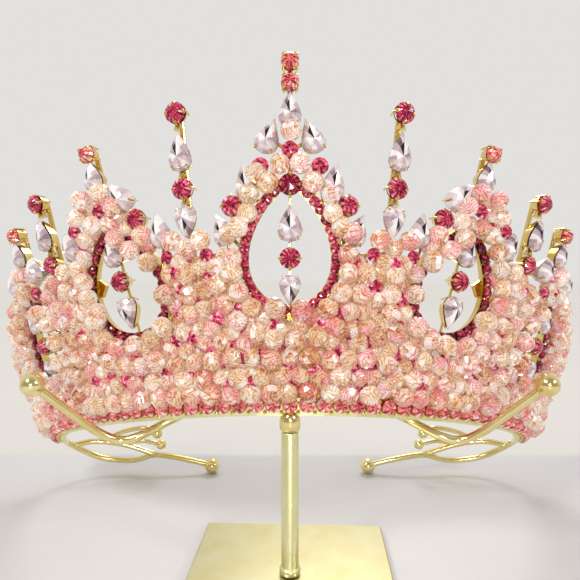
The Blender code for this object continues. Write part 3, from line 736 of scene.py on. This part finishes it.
def addArchMetal(bm, name, side):
    arch = arches[name]
    for hoop in frameMetal["hoops"]:
        addHoop(bm, arch, side, *hoop)
    halfHeight = arch["half"][1]
    top = archPoint(arch, side, 0.0, halfHeight + 1.0)
    bottom = archPoint(arch, side, 0.0, -halfHeight - 1.0)
    foot = archPoint(arch, side, 0.0, -halfHeight - 6.0)
    neck = (side * arch["neck"][0], arch["neck"][1])
    addWallBar(bm, bottom, top, frameMetal["spine"], frameMetal["back"] + 0.9, frameMetal["front"] + 0.5)
    addWallBar(bm, (foot[0], frameMetal["legFoot"]), bottom, frameMetal["leg"])
    addWallBar(bm, (top[0], top[1] - 0.6), neck, frameMetal["stem"])
    if name == "middle":
        ends = [archPoint(arch, side, side * x, y) for x, y in frameMetal["tab"]]
        addWallBar(bm, *ends, frameMetal["tabWidth"])
    # every stone hangs on an arm from the nearest place of the ring or the neck
    places = archLine(arch, side, 1.0, 60)
    for index in range(13):
        share = index / 12
        places.append((top[0] + (neck[0] - top[0]) * share, top[1] + (neck[1] - top[1]) * share))
    held = []
    for owner, kind, theta, *rest in crestStones:
        if owner == name:
            held += [(kind, way * theta, *rest) for way in (sidesOf(theta) if name == "centre" else (side,))]
    for label, (kind, theta, *rest) in stones.items():
        if label.lower().startswith("arch" + name):
            held.append((kind, side * theta, *rest))
    for kind, theta, slant, lean, width, height in held:
        aim = slant - (frameMetal["armDrop"] if kind == "pear" and name == "centre" else 0.0)
        start = min(places, key=lambda place: gapBetween(place, (theta, aim)))
        hangs = insideArch(arch, side, theta, slant, 0.0)
        if gapBetween(start, (theta, slant)) > 0.5 and not hangs:
            addWallBar(bm, start, (theta, slant), frameMetal["arm"])
        addSetting(bm, kind, theta, slant, lean, width, height)


def addSpikeMetal(bm, label, side):
    theta, top = spikes[label]
    addWallBar(bm, (side * theta, frameMetal["legFoot"]), (side * theta, top), frameMetal["stem"])
    for name, (kind, theta, slant, lean, width, height) in stones.items():
        if not name.lower().startswith("spike" + label):
            continue
        addSetting(bm, kind, side * theta, slant, lean, width, height)
        place = seat(side * theta, slant - height / 2 - spikeJoint["below"], spikeJoint["out"])
        size = [value * mm for value in spikeJoint["size"]]
        addCone(bm, 10, *size, place @ Matrix.Rotation(-math.pi / 2, 4, "X"))


def goldFrames():
    for name, arch, side in archSides:
        word = sideWords[side] if arch["theta"] else ""
        node = "_".join(part for part in ("arch", name, word, "frame") if part)
        bm = bmesh.new()
        addArchMetal(bm, name, side)
        bmesh.ops.recalc_face_normals(bm, faces=bm.faces)
        title = "arch" + name.title() + word.title() + "Metal"
        addPiece(title, bm, goldPolished, [node])
    for label in spikes:
        for side, word in sideWords.items():
            bm = bmesh.new()
            addSpikeMetal(bm, label, side)
            bmesh.ops.recalc_face_normals(bm, faces=bm.faces)
            title = "spike" + label.title() + word.title() + "Metal"
            addPiece(title, bm, goldPolished, [f"spike_{label}_{word}_stem"])


print("gold frames")
goldFrames()


pave = {
    "pitch": {"centre": 2.02, "middle": 2.4, "outer": 2.4},
    "dim": {"centre": 0.0, "middle": 0.27, "outer": 0.27},
    "widest": 2.3,
    "depth": 1.4,
    "sides": 10,
    "out": -0.4,
    "line": 1.0,
    "grain": 0.24,
    "grainLine": 1.95,
    "grainOut": 0.55,
    "steps": 240,
}


def paveRows():
    grain = ballShape("grain", pave["grain"], 6, 4)
    rose, gold = newPiece(), bmesh.new()
    for name, arch in arches.items():
        pitch, dim = pave["pitch"][name], pave["dim"][name]
        width = min(pitch + 0.12, pave["widest"])
        shape = cutStone("round", width, width, pave["depth"], pave["sides"])
        for side in sidesOf(arch["theta"]):
            for at in placesAlong(archLine(arch, side, pave["line"], pave["steps"]), pitch, 0.0):
                place = seat(*at, pave["out"]) @ Matrix.Rotation(dice.uniform(0.0, 0.8), 4, "Z")
                stamp(rose, shape, place, dice.uniform(-0.16, 0.12) - dim)
            for at in placesAlong(archLine(arch, side, pave["grainLine"], pave["steps"]), pitch, 0.5):
                stamp(gold, grain, seat(*at, pave["grainOut"]))
    addPiece("paveStones", rose, roseGlass)
    addPiece("paveGrains", gold, goldPolished, smooth=True)


rim = {
    "width": 3.1,
    "depth": 2.3,
    "out": -0.85,
    "slant": 1.7,
    "pitch": 2.8,
    "count": 28,
    "collet": (1.72, 1.66, 1.2),
    "bead": 0.42,
    "beadSlants": (0.15, 3.25),
    "metalOut": -0.5,
}


def rimRow():
    shape = cutStone("round", rim["width"], rim["width"], rim["depth"], 12)
    bead = ballShape("bead", rim["bead"], 8, 5)
    bm = bmesh.new()
    addCone(bm, 16, *[size * mm for size in rim["collet"]])
    collet = toMesh("collet", bm)
    coral, gold = newPiece(), bmesh.new()
    for index in range(-rim["count"], rim["count"] + 1):
        theta = index * rim["pitch"]
        stamp(coral, shape, seat(theta, rim["slant"], rim["out"]), dice.uniform(0.05, 0.25))
        stamp(gold, collet, seat(theta, rim["slant"], rim["metalOut"]))
        if index < rim["count"]:
            for slant in rim["beadSlants"]:
                stamp(gold, bead, seat(theta + rim["pitch"] / 2, slant, rim["metalOut"]))
    addPiece("rimStones", coral, coralGlass)
    addPiece("rimCollets", gold, goldPolished)


print("rows of small stones")
paveRows()
rimRow()


beadWall = {
    "size": 4.3,
    "bottom": 4.3,
    "end": 80.0,
    "rows": 14,
    "rowPitch": 3.25,
    "spacing": 3.7,
    "out": 1.25,
    "front": 2.3,
    "near": 3.15,
    "rings": (3.3, 6.8),
    "clear": 2.6,
    # closest neighbour, place outward and tries
    "fills": ((2.6, 0.5, 9000), (1.9, -0.3, 14000)),
    "kinds": 6,
}
# how far beads keep off a round stone, an accent, and the foot and belly of a pear
clearance = {"round": 1.5, "accent": 1.2, "pear": ((-0.16, 1.6), (0.25, 0.2))}
# beads that lie over the arch rings and the crest: theta, slant, on both sides or not
frontBeads = (
    (-2.1, 20.4, False), (1.6, 20.0, False), (0.1, 54.0, False), (-4.3, 46.0, False), (26.4, 46.9, True),
    (29.6, 46.7, True), (24.6, 43.5, True), (-32.1, 30.0, False), (-31.9, 26.7, False), (-30.9, 23.3, False),
    (1.3, 47.8, True), (6.9, 36.0, True), (5.6, 38.6, True), (8.3, 35.0, True), (5.3, 42.2, True),
    (2.9, 44.3, True), (12.2, 34.2, True), (16.4, 34.6, True), (22.9, 34.2, True), (25.0, 37.0, True),
    (20.3, 31.2, True), (18.2, 24.4, True), (19.3, 18.2, True), (21.6, 16.2, True), (24.6, 15.4, True),
    (31.4, 21.6, True), (45.4, 27.4, True), (43.2, 24.2, True), (42.4, 19.8, True), (43.2, 15.2, True),
    (45.2, 11.4, True), (48.4, 9.8, True), (52.8, 13.2, True),
)  # fmt: skip
# top edge of the beads: theta and slant
wallTop = (
    (0.0, 50.0), (3.0, 49.5), (4.5, 47.0), (5.5, 44.0), (6.5, 41.5), (7.5, 38.2), (9.0, 36.5),
    (11.0, 34.8), (14.3, 34.4), (17.3, 35.0), (19.3, 37.0), (21.7, 39.0), (23.8, 43.5),
    (25.8, 48.3), (28.8, 49.0), (30.6, 47.5), (32.4, 43.0), (34.3, 37.5), (36.3, 34.5),
    (39.5, 33.5), (42.3, 32.5), (44.2, 35.0), (46.0, 39.5), (48.5, 41.0), (51.0, 39.5),
    (53.5, 36.0), (57.0, 32.5), (62.0, 29.0), (68.0, 25.0), (74.0, 20.0), (80.0, 14.0),
)  # fmt: skip


def wallTopAt(theta):
    theta = abs(theta)
    for (t0, s0), (t1, s1) in zip(wallTop, wallTop[1:]):
        if theta <= t1:
            return s0 + (s1 - s0) * (theta - t0) / (t1 - t0)
    return wallTop[-1][1]


def blockers():
    # stones that the beads keep off: theta, slant, distance
    found = []
    rows = [row for name, row in stones.items() if "Drop" not in name]
    rows += [row[1:] for row in crestStones]
    for kind, theta, slant, lean, width, height in rows:
        for side in sidesOf(theta):
            if kind != "pear":
                found.append((side * theta, slant, width / 2 + clearance["round"]))
                continue
            turn = math.radians(lean)
            for share, reach in clearance["pear"]:
                up = share * height
                across = math.degrees(up * math.sin(turn) / (crown["rimRadius"] + 0.4 * slant))
                found.append((side * (theta + across), slant + up * math.cos(turn), width / 2 + reach))
    for theta, slant, width, out in accentStones:
        for side in sidesOf(theta):
            found.append((side * theta, slant, width / 2 + clearance["accent"]))
    return found


def beadPlaces():
    placed, spots = [], []
    blocked = blockers()
    end, bottom, near, spacing = [beadWall[word] for word in ("end", "bottom", "near", "spacing")]

    def put(theta, slant, out):
        placed.append((theta, slant, out))
        spots.append(onCrown(theta, slant, 1.0))

    def isFree(theta, slant, apart):
        if abs(theta) > end - 0.8 or slant > wallTopAt(theta) - 1.3 or slant < bottom - 0.4:
            return False
        if insideAny(theta, slant, beadWall["clear"]):
            return False
        for at, height, distance in blocked:
            if abs(at - theta) < 6.0 and gapBetween((theta, slant), (at, height), 1.0) < distance:
                return False
        here = onCrown(theta, slant, 1.0)
        return all((here - spot).length > apart * mm for spot in spots)

    def tryAt(theta, slant, out, apart):
        if isFree(theta, slant, apart):
            put(theta, slant, out)

    for theta, slant, mirrored in frontBeads:
        for side in (-1, 1) if mirrored else (1,):
            put(side * theta, slant, beadWall["front"] + dice.uniform(-0.2, 0.2))
    # round the arches
    for name, arch, side in archSides:
        for grow in beadWall["rings"]:
            for at in placesAlong(archLine(arch, side, grow, 200), spacing, spacing, 1.0, carry=False):
                tryAt(*at, beadWall["out"] + dice.uniform(0.2, 0.9), near)
    # along the top edge, then in rows up the wall
    for index in range(int(2 * end / 0.5)):
        theta = 0.5 * index - end
        tryAt(theta, wallTopAt(theta) - 1.7, beadWall["out"] + dice.uniform(-0.2, 0.5), near)
    for row in range(beadWall["rows"]):
        slant = bottom + row * beadWall["rowPitch"]
        step = math.degrees(spacing / wallRadius(slant))
        count = int(end / step) + 1
        for index in range(-count, count + 1):
            theta = (index + 0.5 * (row % 2)) * step + dice.uniform(-0.35, 0.35)
            rise = dice.uniform(-0.45, 0.45) if row else dice.uniform(-0.2, 0.2)
            out = beadWall["out"] + (dice.uniform(-0.45, 0.65) if row else dice.uniform(0.3, 0.7))
            tryAt(theta, slant + rise, out, near)
    # deeper ones in what is left
    for apart, out, tries in beadWall["fills"]:
        for index in range(tries):
            theta = dice.uniform(-end, end)
            slant = dice.uniform(bottom, 50.0)
            tryAt(theta, slant, out + dice.uniform(0.0, 0.5), apart)
    return placed


def placeOf(face):
    return [round(value / mm, 2) for value in face.calc_center_median()]


def beadShapes():
    # the same bead cut a few ways: every facet keeps its own turned copy of the bead's coordinates,
    # and the facets are sorted by place, because the operator's own order changes from run to run
    shapes = []
    for kind in range(beadWall["kinds"]):
        bm = newPiece()
        own = bm.loops.layers.float_vector.new("own")
        tone = bm.faces.layers.float["tone"]
        bmesh.ops.create_uvsphere(bm, u_segments=9, v_segments=7, radius=beadWall["size"] / 2 * mm)
        whole = Vector([dice.uniform(0.0, 0.2) for axis in "XYZ"])
        for face in sorted(bm.faces, key=placeOf):
            turn = Matrix.Rotation(dice.uniform(-1.6, 1.6), 3, face.calc_center_median())
            for loop in face.loops:
                loop[own] = turn @ loop.vert.co + whole + face.normal * 0.0004
            # every facet gets a random tone, but about one in eight is painted bright as a glint and about
            # one in twelve painted dark as a dark reflection
            throw = dice.random()
            face[tone] = dice.uniform(-0.16, 0.16)
            if throw < 0.08:
                face[tone] = dice.uniform(-0.42, -0.22)
            elif throw > 0.88:
                face[tone] = dice.uniform(0.32, 0.60)
        shapes.append(toMesh("bead", bm))
    return shapes


def beadRows():
    shapes = beadShapes()
    places = beadPlaces()
    for side, word in sideWords.items():
        bm = newPiece()
        bm.loops.layers.float_vector.new("own")
        for theta, slant, out in places:
            if (theta < 0.0) != (side < 0):
                continue
            place = seat(theta, slant, out)
            for axis in "XYZ":
                place = place @ Matrix.Rotation(dice.uniform(0.0, 6.3), 4, axis)
            size = dice.uniform(0.92, 1.03) * (0.85 if out < 0.3 else 1.0)
            base = dice.uniform(0.63, 0.88) - (0.20 if dice.random() < 0.10 else 0.0)
            # painted light: paler towards the ends and the crest, where more light falls on the beads
            base += 0.0028 * abs(theta) + (0.06 if slant > 33.0 else 0.0)
            stamp(bm, dice.choice(shapes), place @ Matrix.Scale(size, 4), base)
        addPiece("beads" + word.title(), bm, blushGlass, ["bead_wall_" + word])
    print("beads placed", len(places))
    return places


flatBack = {
    "width": 3.1,
    "depth": 1.6,
    "end": 77.0,
    "slants": (6.0, 48.0),
    "apart": 3.2,
    "fromBead": 1.3,
    "open": 1.7,
    "out": 0.5,
    "most": 260,
    "tries": 4000,
}


def flatBacks(beads):
    # rose stones that show between the beads
    shape = cutStone("round", flatBack["width"], flatBack["width"], flatBack["depth"], 8)
    bm = newPiece()
    taken = []
    blocked = blockers()
    beadSpots = [onCrown(*bead[:2], 1.0) for bead in beads]
    for index in range(flatBack["tries"]):
        if len(taken) >= flatBack["most"]:
            break
        theta = dice.uniform(-flatBack["end"], flatBack["end"])
        slant = dice.uniform(*flatBack["slants"])
        if slant > wallTopAt(theta) - 2.0 or insideAny(theta, slant, 3.2):
            continue
        if any(gapBetween((theta, slant), row) < row[2] for row in blocked):
            continue
        spot = onCrown(theta, slant, 1.0)
        gap = min((spot - bead).length for bead in beadSpots) / mm
        crowded = any((spot - other).length < flatBack["apart"] * mm for other in taken)
        if crowded or gap < flatBack["fromBead"]:
            continue
        taken.append(spot)
        out = flatBack["out"] + (0.6 if gap > flatBack["open"] else 0.0)
        stamp(bm, shape, seat(theta, slant, out), dice.uniform(-0.05, 0.25))
    addPiece("flatBacks", bm, roseGlass)
    print("flat-backs", len(taken))


print("beads")
flatBacks(beadRows())


wires = {
    "radius": 0.28,
    "out": -0.75,
    "bottom": 8.0,
    "rows": 7,
    "pitch": 4.6,
    "end": 78.0,
    "step": 3.0,
    "strutFoot": 4.5,
    "strutOut": -0.45,
    "struts": 38,
    "wave": 0.5,
}


def curvePiece(name, paths, material, nodes=(), balls=()):
    # a round wire along every path, which is a list of points and a radius, and balls fused to it
    curve = bpy.data.curves.new(name, "CURVE")
    curve.dimensions = "3D"
    curve.bevel_depth = 1.0
    curve.bevel_resolution = 2
    curve.use_fill_caps = True
    for points, radius in paths:
        spline = curve.splines.new("POLY")
        spline.points.add(len(points) - 1)
        for point, place in zip(spline.points, points):
            point.co = (*place, 1.0)
            point.radius = radius
    holder = newObject(name, curve)
    bpy.context.view_layer.update()
    mesh = bpy.data.meshes.new_from_object(holder.evaluated_get(bpy.context.evaluated_depsgraph_get()))
    bpy.data.objects.remove(holder)
    bm = bmesh.new()
    bm.from_mesh(mesh)
    bmesh.ops.remove_doubles(bm, verts=bm.verts, dist=0.000005)
    for centre, radius in balls:
        place = Matrix.Translation(centre)
        bmesh.ops.create_uvsphere(bm, u_segments=32, v_segments=20, radius=radius, matrix=place)
    bmesh.ops.recalc_face_normals(bm, faces=bm.faces)
    addPiece(name, bm, material, nodes, smooth=True)


def onWall(theta, slant):
    return slant < wallTopAt(theta) - 1.0 and not insideAny(theta, slant, 1.0)


def wallWires():
    # wires round the wall, which stop at the arches, and struts from the band up to the top edge
    runs = []
    for row in range(wires["rows"]):
        slant = wires["bottom"] + row * wires["pitch"]
        runs.append([])
        theta = -wires["end"]
        while theta <= wires["end"]:
            if onWall(theta, slant):
                wave = wires["wave"] * math.sin(theta * 0.7)
                runs[-1].append(onCrown(theta, slant + wave, wires["out"]))
            else:
                runs.append([])
            theta += wires["step"]
    for index in range(-wires["struts"], wires["struts"] + 1):
        theta = 2.0 * index + 1.0
        slant = wires["strutFoot"]
        runs.append([])
        while onWall(theta, slant):
            wave = wires["wave"] * math.sin(slant * 0.4)
            runs[-1].append(onCrown(theta + wave, slant, wires["strutOut"]))
            slant += wires["step"]
    paths = [(run, wires["radius"] * mm) for run in runs if len(run) > 1]
    curvePiece("wallWires", paths, goldPolished)


print("wires behind the beads")
wallWires()


stand = {
    "wire": 0.85,
    "ball": 2.25,
    "clip": (0.0, 6.0, 12.0, 18.0),
    "clipEnd": (22.5, -1.2),
    "arm": ((30.6, 3.2, 28.9), (34.6, 2.6, 28.3), (38.4, 0.9, 30.6), (43.0, -2.0, 35.6), (48.0, -5.2, 41.4)),
    "cap": (
        (0.0, 35.4), (0.9, 35.2), (1.55, 34.7), (1.95, 33.9), (2.08, 33.0), (2.08, 31.7), (1.9, 31.2),
        (0.0, 31.2),
    ),
    "post": (
        (0.0, 30.9), (1.72, 30.9), (1.72, 3.6), (2.0, 3.45), (2.1, 3.2), (2.1, 2.3), (0.0, 2.3),
    ),
    "edge": 0.12,
}  # fmt: skip
endWire = {"scroll": 0.68, "scrollBall": 1.5}
endPaths = {
    "lower": (
        (64.6, 49.8, 11.6), (62.0, 53.2, 8.2), (57.0, 55.2, 5.2), (51.0, 56.0, 4.0), (46.0, 56.2, 4.2),
        (40.6, 56.2, 5.6), (32.0, 56.0, 4.4), (23.6, 56.0, 2.4),
    ),
    "branch": ((63.6, 51.4, 10.2), (58.0, 53.6, 10.6), (50.0, 55.0, 9.2), (40.6, 56.1, 5.7)),
    "scrollUpper": ((56.0, 54.0, 10.3), (50.0, 53.6, 13.4), (43.0, 53.2, 14.8), (39.4, 53.0, 13.2)),
    "scrollLower": ((50.0, 55.0, 9.2), (44.0, 54.6, 10.4), (38.6, 54.4, 9.4)),
}  # fmt: skip


def smoothPath(points, steps):
    points = [Vector(point) for point in points]
    ends = [points[0] * 2 - points[1]] + points + [points[-1] * 2 - points[-2]]
    path = []
    for index in range(1, len(ends) - 2):
        a, b, c, d = ends[index - 1 : index + 3]
        bend = 2 * a - 5 * b + 4 * c - d
        twist = 3 * b - a - 3 * c + d
        for step in range(steps):
            t = step / steps
            path.append(b + ((c - a) * t + bend * t**2 + twist * t**3) / 2)
    path.append(points[-1])
    return path


def turnedPiece(name, profile, material, nodes=()):
    bm = bmesh.new()
    points = [bm.verts.new((radius * mm, 0.0, height * mm)) for radius, height in profile]
    edges = [bm.edges.new((a, b)) for a, b in zip(points, points[1:])]
    up, foot = Vector((0.0, 0.0, 1.0)), Vector()
    bmesh.ops.spin(
        bm, geom=points + edges, axis=up, cent=foot, angle=2 * math.pi, steps=40, use_merge=True
    )
    bmesh.ops.remove_doubles(bm, verts=bm.verts, dist=0.00001)
    bmesh.ops.recalc_face_normals(bm, faces=bm.faces)
    piece = addPiece(name, bm, material, nodes, smooth=True)
    edge = piece.modifiers.new("soft", "BEVEL")
    edge.width = stand["edge"] * mm
    edge.segments = 2
    edge.limit_method = "ANGLE"


def standPieces():
    # the cradle's wire runs behind the front of the rim, then its arms bend out to the balls
    inner = frameMetal["back"] - 0.3 - stand["wire"]
    paths, balls = [], []
    for side in sideWords:
        points = [onCrown(side * theta, 0.2, inner) / mm for theta in stand["clip"]]
        points.append(onCrown(side * stand["clipEnd"][0], stand["clipEnd"][1], inner + 0.2) / mm)
        points += [Vector((side * x, y, z)) for x, y, z in stand["arm"]]
        path = [point * mm for point in smoothPath(points, 8)]
        paths.append((path, stand["wire"] * mm))
        balls.append((path[-1], stand["ball"] * mm))
    curvePiece("cradleWire", paths, goldPale, ["stand_cradle"], balls)
    turnedPiece("standCap", stand["cap"], goldPale)
    turnedPiece("standPost", stand["post"], goldSatin, ["stand_post"])


def endWires():
    for side, word in sideWords.items():
        paths, balls = [], []
        for label, table in endPaths.items():
            points = [Vector((side * x, y, z)) * mm for x, y, z in table]
            isScroll = "scroll" in label
            paths.append((smoothPath(points, 8), (endWire["scroll"] if isScroll else stand["wire"]) * mm))
            if isScroll:
                balls.append((points[-1], endWire["scrollBall"] * mm))
        x, y, z = endPaths["lower"][-1]
        balls.append((Vector((side * x, y, stand["ball"])) * mm, stand["ball"] * mm))
        curvePiece("endWire" + word.title(), paths, goldPale, ["end_wire_" + word], balls)


def dressNodes():
    looks = {"rim_band": goldSatin, "stand_base_plate": goldBrushed}
    for name, material in looks.items():
        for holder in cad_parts[name].material_slots:
            holder.material = material


print("stand and end wires")
standPieces()
endWires()
dressNodes()


floorLook = {
    "size": 1.5,
    "pale": (0.67, 0.665, 0.675),
    "shade": (0.53, 0.525, 0.54),
    "farFrom": (0.069, 0.073),
    "farColour": (0.16, 0.157, 0.153),
    "farGlow": (0.53, 0.51, 0.47),
    "grain": (60.0, 700.0, 60.0),
}
skyLook = {"behind": (0.38, 0.36, 0.35), "ahead": (0.76, 0.75, 0.73), "turn": (-0.5, 0.1)}
# place, size, power and colour of each lamp
lamps = {
    "key": ((-0.28, -0.30, 0.42), 0.12, 1.5, (1.0, 0.97, 0.93)),
    "fill": ((0.34, -0.22, 0.26), 0.08, 0.6, (1.0, 0.93, 0.90)),
    "back": ((0.05, 0.34, 0.40), 0.16, 0.7, (1.0, 0.96, 0.92)),
    "front": ((0.02, -0.42, 0.12), 0.04, 0.5, (1.0, 0.98, 0.96)),
}
lampAim = Vector((0.0, 0.01, 0.05))
photoView = {"sensor": 36.0, "lens": 33.52, "place": (0.0, -0.1047, 0.0646), "down": 3.18}


def floorMaterial():
    # plain and pale, with a soft border to its far part, which glows
    shader = Shader(bpy.data.materials.new("floor"))
    depth = shader.node("ShaderNodeSeparateXYZ", {}, {0: shader.place()}, "Y")
    far = shader.spread(depth, *floorLook["farFrom"])
    cloud = shader.noise(18.0, 5.0)
    grain = shader.noise(1.0, 4.0, shader.place(floorLook["grain"]))
    near = shader.mix(cloud * 0.5 + grain * 0.3, floorLook["pale"], floorLook["shade"])
    shader.set(
        Base_Color=shader.mix(far, near, floorLook["farColour"]),
        Emission_Color=shader.mix(far, (0.0, 0.0, 0.0), floorLook["farGlow"]),
        Emission_Strength=1.0,
        Roughness=0.42 + 0.2 * cloud,
        Normal=shader.bump(grain, 0.1, 0.0002),
    )
    return shader.owner


def paleFloor():
    bm = bmesh.new()
    bmesh.ops.create_grid(bm, x_segments=1, y_segments=1, size=floorLook["size"])
    floor = newObject("floor", toMesh("floor", bm))
    floor.data.materials.append(floorMaterial())


def studioLight():
    # pale in front of the camera, dimmer behind it, so that metal and stones have something to mirror
    world = bpy.data.worlds.new("studio")
    bpy.context.scene.world = world
    sky = Shader(world, "Background")
    facing = sky.node("ShaderNodeTexCoord", output="Generated")
    ahead = sky.node("ShaderNodeSeparateXYZ", {}, {0: facing}, "Y")
    sky.set(Color=sky.mix(sky.spread(ahead, *skyLook["turn"]), skyLook["behind"], skyLook["ahead"]))
    for name, (spot, size, power, colour) in lamps.items():
        data = bpy.data.lights.new(name, "AREA")
        data.size = size
        data.energy = power
        data.color = colour
        lamp = newObject(name, data)
        lamp.location = spot
        lamp.rotation_euler = (lampAim - Vector(spot)).to_track_quat("-Z", "Y").to_euler()


def photoCamera():
    data = bpy.data.cameras.new("camera")
    data.sensor_width = photoView["sensor"]
    data.lens = photoView["lens"]
    data.clip_start = 0.001
    data.clip_end = 20.0
    camera = newObject("camera", data)
    camera.location = photoView["place"]
    camera.rotation_euler = (math.radians(90.0 - photoView["down"]), 0.0, 0.0)
    bpy.context.scene.camera = camera


print("floor, light and camera")
paleFloor()
studioLight()
photoCamera()
bpy.context.scene.view_settings.view_transform = "Standard"
